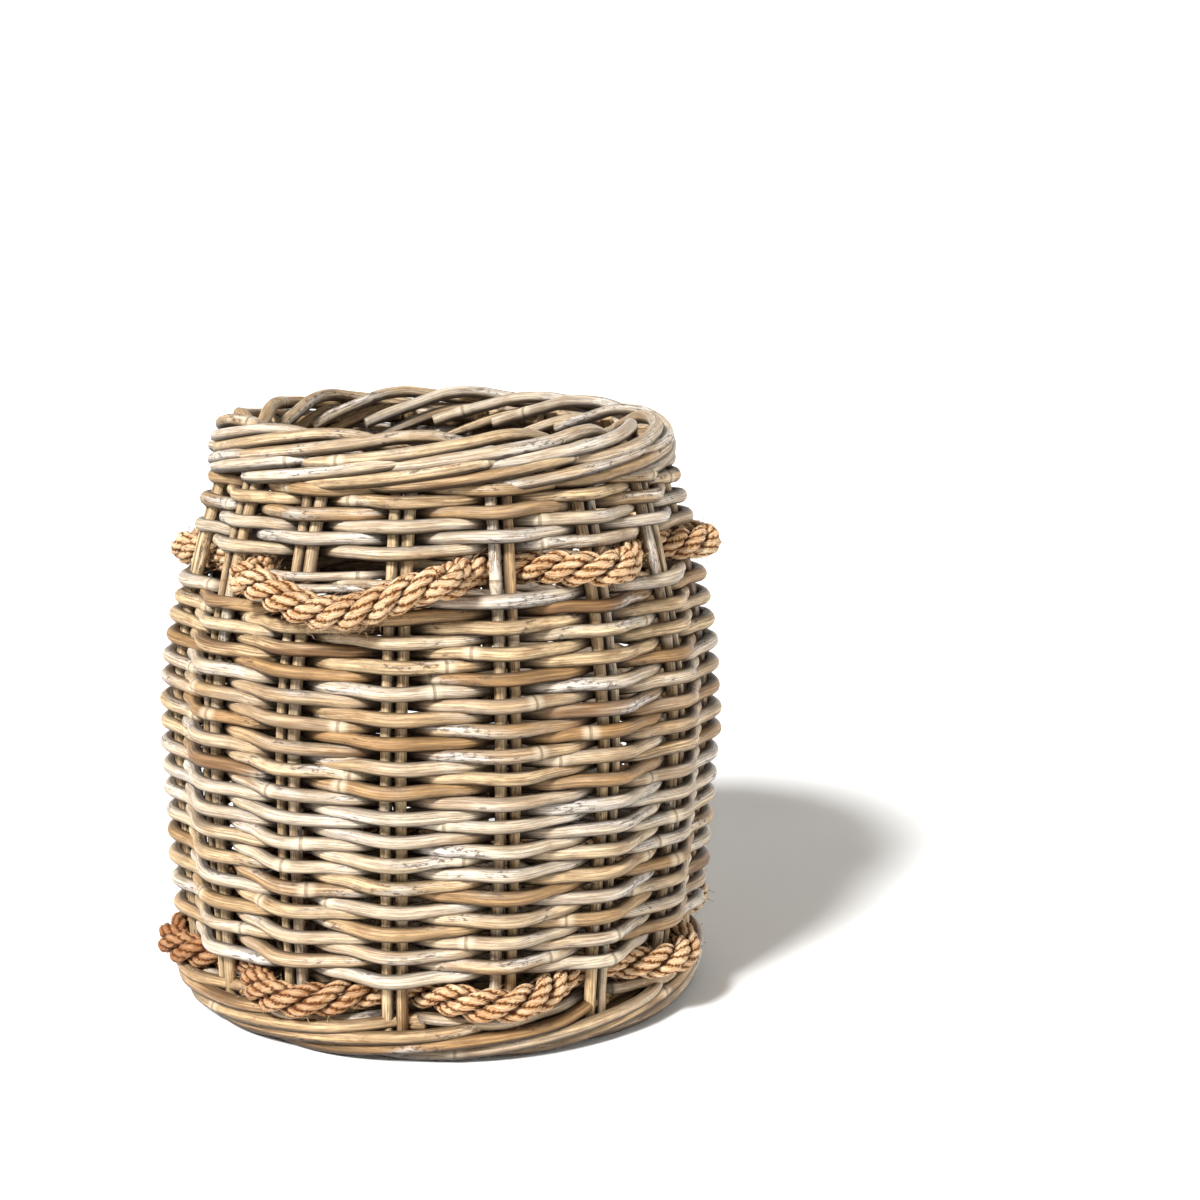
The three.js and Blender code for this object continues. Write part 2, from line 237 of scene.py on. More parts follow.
class Bundle:
    """Gathers round canes or strands as swept tubes, and makes one mesh object of them."""

    def __init__(self):
        self.points, self.quads, self.triangles = [], [], []
        self.quad_uvs, self.triangle_uvs = [], []
        self.tones, self.washes, self.shades = [], [], []
        self.size = 0

    def sweep(self, path, radius, guide, sides=10, tone=0.5, wash=0.5, relief=None, shade=None):
        """A closed tube of rings along a path. The guide is the direction of each ring's first side.

        Without a relief it is a cane, which swells a little at its joints. The shade gives how much
        painted shade each vertex gets, from 0 to 1, from the directions it faces. A cane's joints start
        anywhere along the stock it was cut from.
        """
        path = np.asarray(path, float)
        count = len(path)
        radius = np.broadcast_to(radius, (count,)).astype(float)
        tangent = np.gradient(path, axis=0)
        tangent /= np.linalg.norm(tangent, axis=1)[:, None]
        guide = np.broadcast_to(guide, path.shape)
        normal = guide - (guide * tangent).sum(1)[:, None] * tangent
        normal /= np.linalg.norm(normal, axis=1)[:, None]
        other = np.cross(tangent, normal)
        angle = np.linspace(0.0, 2.0 * math.pi, sides, endpoint=False)
        length = np.concatenate([[0.0], np.cumsum(np.linalg.norm(np.diff(path, axis=0), axis=1))])
        run = length + rng.uniform(0.0, STOCK_LENGTH)
        if relief is None:
            away = (run / NODE_SPACING % 1.0 - 0.5) * NODE_SPACING
            swell = 1.0 + NODE_SWELL * np.exp(-(away / NODE_REACH) ** 2)
            surface = np.broadcast_to(swell[:, None], (count, sides))
        else:
            surface = relief(angle[None, :], run[:, None])
        reach = radius[:, None] * surface
        ring = normal[:, None] * np.cos(angle)[:, None] + other[:, None] * np.sin(angle)[:, None]
        points = path[:, None] + reach[..., None] * ring
        base = self.size
        row = np.arange(count - 1)[:, None] * sides
        side = np.arange(sides)[None, :]
        turned = (side + 1) % sides
        quads = np.stack([row + side, row + turned, row + sides + turned, row + sides + side], axis=-1)
        girth = 2.0 * math.pi * float(radius.max()) / sides
        u = np.broadcast_to(run[:, None], (count, sides + 1))
        v = np.broadcast_to(np.arange(sides + 1)[None, :] * girth, (count, sides + 1))
        uv = np.stack([u, v], axis=-1)
        quad_uv = np.stack([uv[:-1, :-1], uv[:-1, 1:], uv[1:, 1:], uv[1:, :-1]], axis=2)
        first, last = count * sides, count * sides + 1
        start = np.stack([np.full(sides, first), turned[0], side[0]], axis=-1)
        tail = (count - 1) * sides
        end = np.stack([np.full(sides, last), tail + side[0], tail + turned[0]], axis=-1)
        self.points.append(np.concatenate([points.reshape(-1, 3), path[:1], path[-1:]]))
        self.quads.append(quads.reshape(-1, 4) + base)
        self.quad_uvs.append(quad_uv.reshape(-1, 2))
        self.triangles.append(np.concatenate([start, end]) + base)
        cap_uv = np.array([[run[0], 0.0]] * (3 * sides) + [[run[-1], 0.0]] * (3 * sides))
        self.triangle_uvs.append(cap_uv)
        total = count * sides + 2
        ends = np.full(2, np.mean(tone))
        tone = np.repeat(np.broadcast_to(tone, (count,)), sides)
        self.tones.append(np.concatenate([tone, ends]))
        self.washes.append(np.full(total, wash, float))
        if relief is None:
            # A cane without a shade of its own gets painted shade where canes touch it, above and below.
            shades = (shade or cane_contact_shade)(ring)
        else:
            # A strand gets painted shade in its yarn creases and on the sides that face the rope's middle.
            shades = (1.0 - surface) * 2.5 + 1.2 * ramp_up(-np.cos(angle), -0.40, 0.10)
        self.shades.append(np.concatenate([shades.ravel(), np.zeros(2)]))
        self.size += total

    def finish(self, name, material, body, nodes=()):
        """Makes the mesh object, hangs it on its body and hides the CAD nodes it replaces."""
        points = np.concatenate(self.points)
        quads = np.concatenate(self.quads)
        triangles = np.concatenate(self.triangles)
        mesh = bpy.data.meshes.new(name)
        mesh.vertices.add(len(points))
        mesh.vertices.foreach_set("co", points.ravel())
        corners = np.concatenate([quads.ravel(), triangles.ravel()]).astype(np.int32)
        mesh.loops.add(len(corners))
        mesh.loops.foreach_set("vertex_index", corners)
        mesh.polygons.add(len(quads) + len(triangles))
        starts = np.concatenate([
            np.arange(len(quads)) * 4, quads.size + np.arange(len(triangles)) * 3,
        ]).astype(np.int32)
        mesh.polygons.foreach_set("loop_start", starts)
        mesh.polygons.foreach_set("use_smooth", np.arange(len(starts)) < len(quads))
        layer = mesh.uv_layers.new(name="along_cane")
        uvs = np.concatenate(self.quad_uvs + self.triangle_uvs)
        layer.data.foreach_set("uv", uvs.ravel().astype(np.float32))
        mesh.update(calc_edges=True)
        for label, values in (("tone", self.tones), ("wash", self.washes), ("shade", self.shades)):
            attribute = mesh.attributes.new(label, "FLOAT", "POINT")
            attribute.data.foreach_set("value", np.concatenate(values).astype(np.float32))
        mesh.materials.append(material)
        piece = bpy.data.objects.new(name, mesh)
        bpy.context.scene.collection.objects.link(piece)
        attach(piece, body)
        if nodes:
            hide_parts(*nodes)
        return piece


def add_node(tree, kind, **settings):
    """A shader node with its settings; a setting that names an input sets that input's value."""
    node = tree.nodes.new(kind)
    for key, value in settings.items():
        if hasattr(node, key):
            setattr(node, key, value)
        else:
            node.inputs[key.replace("_", " ")].default_value = value
    return node


def add_mix(tree, share, first, second, blend="MIX"):
    """Mixes two colours by a share; each may be a socket, a colour or a number."""
    node = tree.nodes.new("ShaderNodeMix")
    node.data_type = "RGBA"
    node.blend_type = blend
    for socket, value in ((node.inputs[0], share), (node.inputs[6], first), (node.inputs[7], second)):
        if isinstance(value, bpy.types.NodeSocket):
            tree.links.new(value, socket)
        else:
            socket.default_value = value
    return node.outputs[2]


def add_maths(tree, operation, first, second=0.0, third=0.0, clamp=False):
    node = tree.nodes.new("ShaderNodeMath")
    node.operation = operation
    node.use_clamp = clamp
    for socket, value in zip(node.inputs, (first, second, third)):
        if isinstance(value, bpy.types.NodeSocket):
            tree.links.new(value, socket)
        else:
            socket.default_value = value
    return node.outputs[0]


def add_ramp(tree, value, low, high, reverse=False):
    """A share that runs smoothly from 0 to 1 as value goes from low to high, or back."""
    node = tree.nodes.new("ShaderNodeMapRange")
    node.interpolation_type = "SMOOTHSTEP"
    tree.links.new(value, node.inputs["Value"])
    node.inputs["From Min"].default_value = low
    node.inputs["From Max"].default_value = high
    node.inputs["To Min"].default_value = 1.0 if reverse else 0.0
    node.inputs["To Max"].default_value = 0.0 if reverse else 1.0
    return node.outputs["Result"]


def add_layer(tree, under, mask, strength, colour):
    """Lays a colour over what is under it, where the mask is and to a strength from 0 to 1."""
    return add_mix(tree, add_maths(tree, "MULTIPLY", mask, strength), under, colour)


def add_sockets(group, in_out, **kinds):
    """The named inputs or outputs of a shader group."""
    for label, kind in kinds.items():
        group.interface.new_socket(name=label, in_out=in_out, socket_type="NodeSocket" + kind)


def along_noise(tree, place, along, across, detail=3.0, roughness=0.6):
    """Noise stretched along a cane: along and across are repeats per metre."""
    mapping = tree.nodes.new("ShaderNodeMapping")
    mapping.inputs["Scale"].default_value = (along, across, 1.0)
    tree.links.new(place, mapping.inputs["Vector"])
    noise = add_node(tree, "ShaderNodeTexNoise", Scale=1.0, Detail=detail, Roughness=roughness)
    tree.links.new(mapping.outputs["Vector"], noise.inputs["Vector"])
    return noise.outputs["Fac"]


DARK_HONEY = (0.46, 0.265, 0.105, 1.0)
PALE_HONEY = (0.84, 0.63, 0.37, 1.0)
BROWN_STAIN = (0.24, 0.12, 0.045, 1.0)
BROWN_MOTTLE = (0.32, 0.17, 0.065, 1.0)
LIME_WASH = (0.80, 0.69, 0.545, 1.0)
CHALK = (0.86, 0.815, 0.75, 1.0)
DARK_GRAIN = (0.20, 0.105, 0.045, 1.0)
DARK_SPECK = (0.10, 0.06, 0.035, 1.0)
DARK_SCUFF = (0.10, 0.055, 0.03, 1.0)
NODE_BAND = (0.79, 0.68, 0.50, 1.0)
NODE_LINE = (0.20, 0.115, 0.06, 1.0)
CANE_SHADOW = (0.016, 0.006, 0.002, 1.0)


def cane_skin_group():
    """The surface of weathered rattan: long grain, grey lime wash, brown stains, specks and joints."""
    group = bpy.data.node_groups.new("cane_skin", "ShaderNodeTree")
    add_sockets(group, "INPUT", Place="Vector", Tone="Float", Wash="Float", Shade="Float")
    add_sockets(group, "OUTPUT", Colour="Color", Roughness="Float", Height="Float")
    start = group.nodes.new("NodeGroupInput")
    end = group.nodes.new("NodeGroupOutput")
    place, tone, wash = start.outputs["Place"], start.outputs["Tone"], start.outputs["Wash"]

    streak = along_noise(group, place, 16.0, 560.0, 4.0, 0.65)
    fine = along_noise(group, place, 60.0, 1900.0, 3.0, 0.6)
    patch = along_noise(group, place, 11.0, 55.0, 3.0, 0.6)
    mottle = along_noise(group, place, 45.0, 190.0, 4.0, 0.65)
    cloud = along_noise(group, place, 3.0, 12.0, 2.0, 0.5)
    specks = along_noise(group, place, 420.0, 900.0, 2.0, 0.7)
    scuffs = along_noise(group, place, 130.0, 300.0, 5.0, 0.75)

    # Bare cane is honey coloured, with long brown stains and smaller mottling.
    honey = add_mix(group, tone, DARK_HONEY, PALE_HONEY)
    age = add_maths(group, "MULTIPLY_ADD", streak, 0.25, cloud)
    stained = add_mix(group, add_ramp(group, age, 0.66, 0.82), honey, BROWN_STAIN)
    mottled = add_layer(group, stained, add_ramp(group, mottle, 0.48, 0.66), 0.7, BROWN_MOTTLE)

    # The lime wash lies over it in patches, which are chalky where it is thickest.
    bloom = add_maths(group, "MULTIPLY_ADD", patch, 1.1, add_maths(group, "SUBTRACT", wash, 0.86))
    bloom = add_maths(group, "MULTIPLY_ADD", fine, 0.35, bloom)
    washed = add_layer(group, mottled, add_ramp(group, bloom, 0.14, 0.60), 0.8, LIME_WASH)
    chalk = add_maths(group, "MULTIPLY_ADD", wash, 0.28, patch)
    chalky = add_layer(group, washed, add_ramp(group, chalk, 0.66, 0.84), 0.8, CHALK)

    # Grain, specks and scuffs show dark through the wash.
    worn = add_ramp(group, streak, 0.34, 0.62, reverse=True)
    worn = add_maths(group, "MULTIPLY_ADD", worn, 0.58, 0.50)
    grained = add_mix(group, 1.0, chalky, worn, "MULTIPLY")
    threaded = add_layer(group, grained, add_ramp(group, fine, 0.50, 0.62), 0.75, DARK_GRAIN)
    speckled = add_layer(group, threaded, add_ramp(group, specks, 0.66, 0.74), 0.75, DARK_SPECK)
    scuff_mask = add_maths(group, "MULTIPLY", add_ramp(group, scuffs, 0.53, 0.58),
                           add_ramp(group, patch, 0.53, 0.60))
    scuffed = add_layer(group, speckled, scuff_mask, 0.75, DARK_SCUFF)

    # A joint is a thin dark line in a paler band.
    parts = group.nodes.new("ShaderNodeSeparateXYZ")
    group.links.new(place, parts.inputs["Vector"])
    cycle = add_maths(group, "FRACT", add_maths(group, "DIVIDE", parts.outputs["X"], NODE_SPACING))
    away = add_maths(group, "ABSOLUTE", add_maths(group, "SUBTRACT", cycle, 0.5))
    wobble = add_maths(group, "MULTIPLY_ADD", streak, 0.004, away)
    ring_line = add_ramp(group, wobble, 0.0042, 0.0072, reverse=True)
    ring_band = add_ramp(group, away, 0.010, 0.030, reverse=True)
    banded = add_layer(group, scuffed, ring_band, 0.45, NODE_BAND)
    ringed = add_layer(group, banded, ring_line, 0.6, NODE_LINE)
    # Painted shade, as much as the mesh's shade attribute gives.
    shaded = add_layer(group, ringed, start.outputs["Shade"], 0.93, CANE_SHADOW)
    group.links.new(shaded, end.inputs["Colour"])

    rough = add_maths(group, "MULTIPLY_ADD", patch, 0.25, 0.40)
    rough = add_maths(group, "MULTIPLY_ADD", scuff_mask, 0.2, rough, clamp=True)
    group.links.new(rough, end.inputs["Roughness"])
    height = add_maths(group, "MULTIPLY", streak, 0.55)
    height = add_maths(group, "MULTIPLY_ADD", fine, 0.35, height)
    height = add_maths(group, "MULTIPLY_ADD", scuff_mask, -0.5, height)
    height = add_maths(group, "MULTIPLY_ADD", ring_line, -0.9, height)
    height = add_maths(group, "MULTIPLY_ADD", ring_band, 0.5, height)
    group.links.new(height, end.inputs["Height"])
    return group


cane_skin = cane_skin_group()


def swept_material(name, surface, bump, depth, gloss):
    """A finish laid along each cane or strand by a group, which is fed what the mesh stores."""
    material = bpy.data.materials.new(name)
    material.use_nodes = True
    tree = material.node_tree
    shader = tree.nodes["Principled BSDF"]
    skin = tree.nodes.new("ShaderNodeGroup")
    skin.node_tree = surface
    place = add_node(tree, "ShaderNodeUVMap", uv_map="along_cane")
    tree.links.new(place.outputs["UV"], skin.inputs["Place"])
    for socket in skin.inputs[1:]:
        stored = add_node(tree, "ShaderNodeAttribute", attribute_name=socket.name.lower())
        tree.links.new(stored.outputs["Fac"], socket)
    relief = add_node(tree, "ShaderNodeBump", Strength=bump, Distance=depth)
    tree.links.new(skin.outputs["Height"], relief.inputs["Height"])
    tree.links.new(skin.outputs["Colour"], shader.inputs["Base Color"])
    tree.links.new(skin.outputs["Roughness"], shader.inputs["Roughness"])
    tree.links.new(relief.outputs["Normal"], shader.inputs["Normal"])
    shader.inputs["Specular IOR Level"].default_value = gloss
    return material


CANE_FINISH = {"bump": 0.8, "depth": 0.0009, "gloss": 0.35}
stake_cane = swept_material("stake_cane", cane_skin, **CANE_FINISH)
stake_rise = np.linspace(STAKE_LOW, STAKE_HIGH, 96)
for pair in range(PAIRS):
    stakes = Bundle()
    for side in (-1, 1):
        drift = wander(stake_rise, (2, 5, 9), 0.0006, HEIGHT)
        lean = side * STAKE_SPACING / 2.0 + wander(stake_rise, (1, 3, 7), 0.0005, HEIGHT)
        radius = stake_radius(stake_rise) + drift
        azimuth = pair_azimuth(pair) + lean / radius
        thickness = STAKE / 2.0 * (0.97 + wander(stake_rise, (2, 4), 0.03, HEIGHT))
        outward = around(azimuth, 1.0, 0.0)
        partner = around(azimuth - side * math.pi / 2.0, 1.0, 0.0)[:, None]
        # Each stake gets painted shade on the side that faces its partner.
        stakes.sweep(around(azimuth, radius, stake_rise), thickness, outward, CANE_SIDES,
                     rng.uniform(0.3, 1.0), rng.uniform(0.0, 0.5),
                     shade=lambda ring: 0.95 * ramp_up((ring * partner).sum(-1), 0.25, 0.95))
    node = f"stake_pair_{pair + 1:02d}"
    stakes.finish(node + "_canes", stake_cane, "root", [node])


# ---- Siding and shoulder rows ----
# Single round canes woven in front of one pair of stakes and behind the next, each row the other
# way about. A row is one cane, scarfed to itself at a slant where its two ends meet.
weaver_cane = swept_material("weaver_cane", cane_skin, **CANE_FINISH)
SCARF = 0.26
STEPS_PER_PAIR = 18
WEAVE_SHARPNESS = 2.0
BACK_SWELL = 0.11
ROW_TILT = 0.009
TILT_LEVEL = 0.375
TILT_SPREAD = 0.065
LOW_TILT_LEVEL = 0.05
LOW_TILT_SPREAD = 0.045
LOW_TILT_SHARE = 0.55


def row_tilt(turn, level):
    """Droop to the left of the front, where the rows by the two ropes were beaten down unevenly."""
    lean = turn + math.pi / 2.0 - CAMERA_AZIMUTH
    droop = np.sin(lean) + np.cos(lean) - 1.0
    front = ramp_up(np.cos(lean), -0.85, -0.15)
    high = np.exp(-((level - TILT_LEVEL) / TILT_SPREAD) ** 2)
    low = np.exp(-((level - LOW_TILT_LEVEL) / LOW_TILT_SPREAD) ** 2)
    return ROW_TILT * droop * front * (high + LOW_TILT_SHARE * low)


def woven_shade(ring, outward, behind):
    """A woven cane has painted shade above, below, behind the stakes that cross it, and on its inside."""
    facing = (ring * outward).sum(-1)
    shade_behind_stakes = behind * ramp_up(facing, -0.3, 0.3)
    return np.maximum.reduce([cane_contact_shade(ring), shade_behind_stakes, 0.75 * ramp_up(-facing, -0.1, 0.6)])


def weave_cane(bundle, turn, level, radius, phase, sag, scarf):
    """A cane along a range of turn. Phase 1 passes outside the even pairs, -1 outside the odd ones."""
    wave = np.cos((turn - pair_azimuth(0)) * PAIRS / 2.0) * phase
    bent = np.sign(wave) * np.abs(wave) ** WEAVE_SHARPNESS
    taper = np.clip(np.minimum(turn - turn[0], turn[-1] - turn) / scarf, 0.0, 1.0)
    width = radius * (0.30 + 0.70 * taper ** 0.7) * (1.0 + 0.06 * bent + wander(turn, (3, 7, 11), 0.09))
    width = width * (1.0 + BACK_SWELL * ramp_up(np.sin(turn), -0.2, 0.4))
    middle = (turn[0] + turn[-1]) / 2.0
    shift = np.where(turn < middle, -1.0, 1.0) * (radius - np.minimum(width, radius)) * (taper < 1.0)
    z = level + shift - sag * wave + wander(turn, (1, 2, 5), 0.0014) + wander(turn, (9, 14, 23), 0.0011)
    z = z + row_tilt(turn, level)
    swing = STAKE / 2.0 + radius
    reach = stake_radius(level) + swing * bent + wander(turn, (3, 6, 13), 0.0009)
    # Painted shade where the cane passes behind a stake.
    behind = 0.97 * ramp_up(-wave, 0.40, 0.85)[:, None]
    outward = around(turn, 1.0, 0.0)[:, None]
    bundle.sweep(around(turn, reach, z), width, UPRIGHT, CANE_SIDES,
                 rng.uniform(0.0, 1.0), rng.uniform(0.2, 0.8),
                 shade=lambda ring: woven_shade(ring, outward, behind))


def weave_row(name, level, radius, phase, sag, node):
    """A full round of one cane, at a level, as a piece of its own."""
    row = Bundle()
    start = rng.uniform(0.0, 2.0 * math.pi)
    reach = 2.0 * math.pi + SCARF
    turn = np.linspace(start, start + reach, int(reach / PAIR_ANGLE * STEPS_PER_PAIR))
    weave_cane(row, turn, level, radius, phase, sag, SCARF)
    row.finish(name, weaver_cane, "root", [node])


siding_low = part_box("siding_lower")[0][2]
siding_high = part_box("siding_upper")[1][2]
shoulder_low, shoulder_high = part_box("shoulder_rows")[0][2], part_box("shoulder_rows")[1][2]
SIDING_ROWS = 32
FIRST_BELLY_ROW = 11
FIRST_UPPER_ROW = 21
SIDING_SWELL = (1.05, 1.19)
SIDING_SAG = -0.0006
LOW_ROW_SAG = 0.0012
SHOULDER_ROWS = 5
SHOULDER_SWELL = (1.04, 1.16)
SHOULDER_SAG = -0.0007
siding_pitch = (siding_high - siding_low) / SIDING_ROWS
for number in range(SIDING_ROWS):
    level = siding_low + (number + 0.5) * siding_pitch
    slack = ramp_up(-level, -0.26, -0.12)
    if number < FIRST_BELLY_ROW:
        band = "siding_lower"
    elif number < FIRST_UPPER_ROW:
        band = "siding_belly"
    else:
        band = "siding_upper"
    weave_row(f"siding_row_{number + 1:02d}", level + rng.uniform(-0.0004, 0.0004),
              CANE / 2.0 * rng.uniform(*SIDING_SWELL), 1 if number % 2 == 0 else -1,
              SIDING_SAG + LOW_ROW_SAG * slack, band)
shoulder_pitch = (shoulder_high - shoulder_low) / SHOULDER_ROWS
for number in range(SHOULDER_ROWS):
    level = shoulder_low + (number + 0.5) * shoulder_pitch
    weave_row(f"shoulder_row_{number + 1}", level, CANE / 2.0 * rng.uniform(*SHOULDER_SWELL),
              1 if number % 2 == 0 else -1, SHOULDER_SAG, "shoulder_rows")

# A sixth row is tucked up under the border.
TUCKED_RISE = 0.0035
TUCKED_SWELL = 1.05
weave_row("shoulder_row_6", shoulder_high + TUCKED_RISE, CANE / 2.0 * TUCKED_SWELL, -1, 0.0, "rim_border")

# Three thin canes fill the wall behind each handle, where the rope leaves its own gap.
PACKING_LEVELS = (0.3545, 0.3590, 0.3635)
PACKING_CANE = 0.74 * CANE
PACKING_SCARF = 0.05
for handle, heading in (("front", -math.pi / 2.0), ("back", math.pi / 2.0)):
    packing = Bundle()
    for number, level in enumerate(PACKING_LEVELS):
        reach = PAIR_ANGLE * rng.uniform(0.98, 1.06)
        turn = np.linspace(heading - reach, heading + reach * 1.15, 60)
        weave_cane(packing, turn, level, PACKING_CANE / 2.0, 1 if number == 1 else -1, 0.0, PACKING_SCARF)
    packing.finish(f"packing_canes_{handle}", weaver_cane, "root", ["siding_upper"])


# ---- Rim border ----
# Above the rows a round of waling binds the stakes, and over it the stakes themselves are turned
# down to the right, rolled over the rim and cut off inside, one long slanted stroke to each pair.
def stroke_shade(ring, outward, shade_near_floor, shade_against_neighbours):
    """A border stroke gets painted shade underneath, on top, on its inside, and near the floor."""
    over = ramp_up(ring[..., 2], 0.72, 0.98)
    inward = ramp_up(-(ring * outward).sum(-1), 0.0, 0.7)
    return np.maximum.reduce([ramp_up(-ring[..., 2], 0.0, 0.60), 0.8 * shade_against_neighbours * over,
                              0.6 * shade_against_neighbours * inward, shade_near_floor * np.ones(CANE_SIDES)])


def slanted_strokes(bundle, keys, steps, radius, butt=0.0,
                    tones=(0.1, 1.0), washes=(0.2, 0.75), shade_against_neighbours=1.0):
    """One stroke of cane for each pair of stakes.

    A key is a turn in spacings of the pairs, a distance out from the stakes, a height, and the
    level of the wall that the stroke follows there. The butt is the share of the stroke that tapers
    to its end; the last setting gives the painted shade on top and inside, against the next strokes.
    """
    line = smooth_line(keys, steps)
    share = np.linspace(0.0, 1.0, steps)
    wall = stake_radius(np.minimum(line[:, 3], HEIGHT))
    for pair in range(PAIRS):
        azimuth = pair_azimuth(pair) + (line[:, 0] + rng.uniform(-0.1, 0.1)) * PAIR_ANGLE
        z = line[:, 2] + wander(share, (1, 2), 0.0012, 1.0) + row_tilt(azimuth, line[:, 3])
        reach = wall + line[:, 1] + wander(share, (1, 3), 0.0009, 1.0)
        width = radius * rng.uniform(0.93, 1.06) * np.ones(steps)
        if butt:
            width *= 0.35 + 0.65 * np.clip((1.0 - share) / butt, 0.0, 1.0) ** 0.6
        outward = around(azimuth, 1.0, 0.0)[:, None]
        # Painted shade near the floor, strongest at the bottom of the foot.
        shade_near_floor = 0.65 * ramp_up(-z, -0.016, -0.004)[:, None]
        bundle.sweep(around(azimuth, reach, z), width, UPRIGHT, CANE_SIDES,
                     rng.uniform(*tones), rng.uniform(*washes),
                     shade=lambda ring: stroke_shade(ring, outward, shade_near_floor, shade_against_neighbours))


BORDER_CANE = 0.0103
# How much painted shade the rim's strokes get on top and inside, where they lie against the next ones.
RIM_NEIGHBOUR_SHADE = 0.35
WALE_RISE = 0.0060
WALE_LEVEL = 0.014
WALE_BUTT = 0.12
ROLL_RISE = 0.0205
wale_keys = (
    (-1.00, -0.0110, -0.0010), (-0.50, -0.0030, -0.0010), (-0.05, 0.0100, 0.0), (0.45, 0.0122, 0.0040),
    (1.20, 0.0122, 0.0110), (1.80, 0.0095, 0.0170), (2.20, -0.0040, 0.0190), (2.60, -0.0120, 0.0150),
    (3.05, -0.0140, 0.0060), (3.50, -0.0140, -0.0040),
)
roll_keys = (
    (-1.05, -0.0100, -0.0010, 0.0), (-0.55, -0.0050, -0.0005, 0.0), (-0.12, 0.0095, 0.0, 0.0),
    (0.45, 0.0128, 0.0045, 0.0), (1.05, 0.0128, 0.0100, 0.004), (1.60, 0.0105, 0.0155, 0.010),
    (2.00, 0.0035, 0.0192, 0.012), (2.40, -0.0060, 0.0180, 0.012), (2.80, -0.0120, 0.0110, 0.010),
    (3.20, -0.0140, 0.0035, 0.006), (3.60, -0.0150, -0.0050, 0.0),
)
border_base = rim_low[2]
wale_base = border_base + WALE_RISE
roll_base = border_base + ROLL_RISE
wale_keys = [(turn, out, wale_base + rise, border_base + WALE_LEVEL) for turn, out, rise in wale_keys]
roll_keys = [(turn, out, roll_base + rise, roll_base + lift) for turn, out, rise, lift in roll_keys]
border = Bundle()
slanted_strokes(border, wale_keys, 90, BORDER_CANE / 2.0, butt=WALE_BUTT, shade_against_neighbours=RIM_NEIGHBOUR_SHADE)
slanted_strokes(border, roll_keys, 110, BORDER_CANE / 2.0, shade_against_neighbours=RIM_NEIGHBOUR_SHADE)
border.finish("rim_border_canes", weaver_cane, "root", ["rim_border"])


# ---- Foot border ----
# A plaited ring that the basket stands on: a round of cane next to the lower rope, and under it
# long strokes that come up from beneath the base and slant to the right.
foot_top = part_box("foot_border")[1][2]
FOOT_CANE = 0.98 * CANE
FOOT_ROW_SAG = 0.0015
# The strokes follow the wall as it is below the floor, where it is straight and level.
FOOT_LEVEL = -0.05
outer_keys = (
    (-1.10, -0.0150, 0.0100), (-0.60, -0.0090, 0.0072), (-0.05, 0.0010, 0.0064), (0.50, 0.0065, 0.0078),
    (1.15, 0.0102, 0.0132), (1.90, 0.0120, 0.0200), (2.60, 0.0105, 0.0255), (3.10, -0.0030, 0.0285),
    (3.60, -0.0110, 0.0295),
)
inner_keys = (
    (-1.60, 0.0020, 0.0060), (-1.10, -0.0100, 0.0080), (-0.50, -0.0135, 0.0130), (0.10, -0.0135, 0.0190),
    (0.70, -0.0120, 0.0240), (1.20, -0.0020, 0.0265),
)
outer_keys = [(turn, out, z, FOOT_LEVEL) for turn, out, z in outer_keys]
inner_keys = [(turn, out, z, FOOT_LEVEL) for turn, out, z in inner_keys]
foot = Bundle()
# The foot's canes take darker tones and less wash than the rim's: partly their own colour, partly painted
# shade low down.
slanted_strokes(foot, outer_keys, 90, BORDER_CANE / 2.0, tones=(0.0, 0.6), washes=(0.0, 0.6))
slanted_strokes(foot, inner_keys, 50, FOOT_CANE / 2.0, tones=(0.0, 0.4), washes=(0.0, 0.3))
foot.finish("foot_border_canes", weaver_cane, "root", ["foot_border"])
weave_row("foot_row", foot_top - CANE / 2.0, FOOT_CANE / 2.0, -1, FOOT_ROW_SAG, "foot_border")


# ---- Base ----
# Six stout sticks cross under the basket in two layers, and rounds of cane are woven over thinner
# radial sticks above them to make the floor.
STICK_STEPS = 60
floor_low, floor_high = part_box("base_weave")
base_level = (floor_low[2] + floor_high[2]) / 2.0
base_reach = floor_high[0]
for layer, along in (("lower", 0), ("upper", 1)):
    for number in range(1, 4):
        node = f"base_stick_{layer}_{number}"
        low, high = (np.array(corner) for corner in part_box(node))
        reach = (high - low)[along] / 2.0
        share = np.linspace(-1.0, 1.0, STICK_STEPS)
        line = np.tile((low + high) / 2.0, (STICK_STEPS, 1))
        line[:, along] += share * reach
        line[:, 1 - along] += wander(share, (1, 2), 0.0008, 2.0)
        stick = Bundle()
        stick.sweep(line, STAKE / 2.0 * (0.985 + wander(share, (2, 3), 0.015, 2.0)), UPRIGHT, 14,
                    rng.uniform(0.3, 0.9), rng.uniform(0.3, 0.7))
        stick.finish(node + "_cane", stake_cane, "root", [node])

BASE_SPOKES = 32
SPOKE = 0.0048
SPOKE_MARGIN = 0.002
spokes = Bundle()
for number in range(BASE_SPOKES // 2):
    angle = number * 2.0 * math.pi / BASE_SPOKES
    reach = np.linspace(SPOKE_MARGIN - base_reach, base_reach - SPOKE_MARGIN, 90)
    lift = base_level + 0.0010 * math.sin(number * 2.4) * np.exp(-(reach / 0.03) ** 2)
    line = np.stack([reach * math.cos(angle), reach * math.sin(angle), lift], axis=-1)
    spokes.sweep(line, SPOKE / 2.0, UPRIGHT, 8, rng.uniform(0.2, 0.8), rng.uniform(0.3, 0.7))
spokes.finish("base_spokes", stake_cane, "root", ["base_weave"])

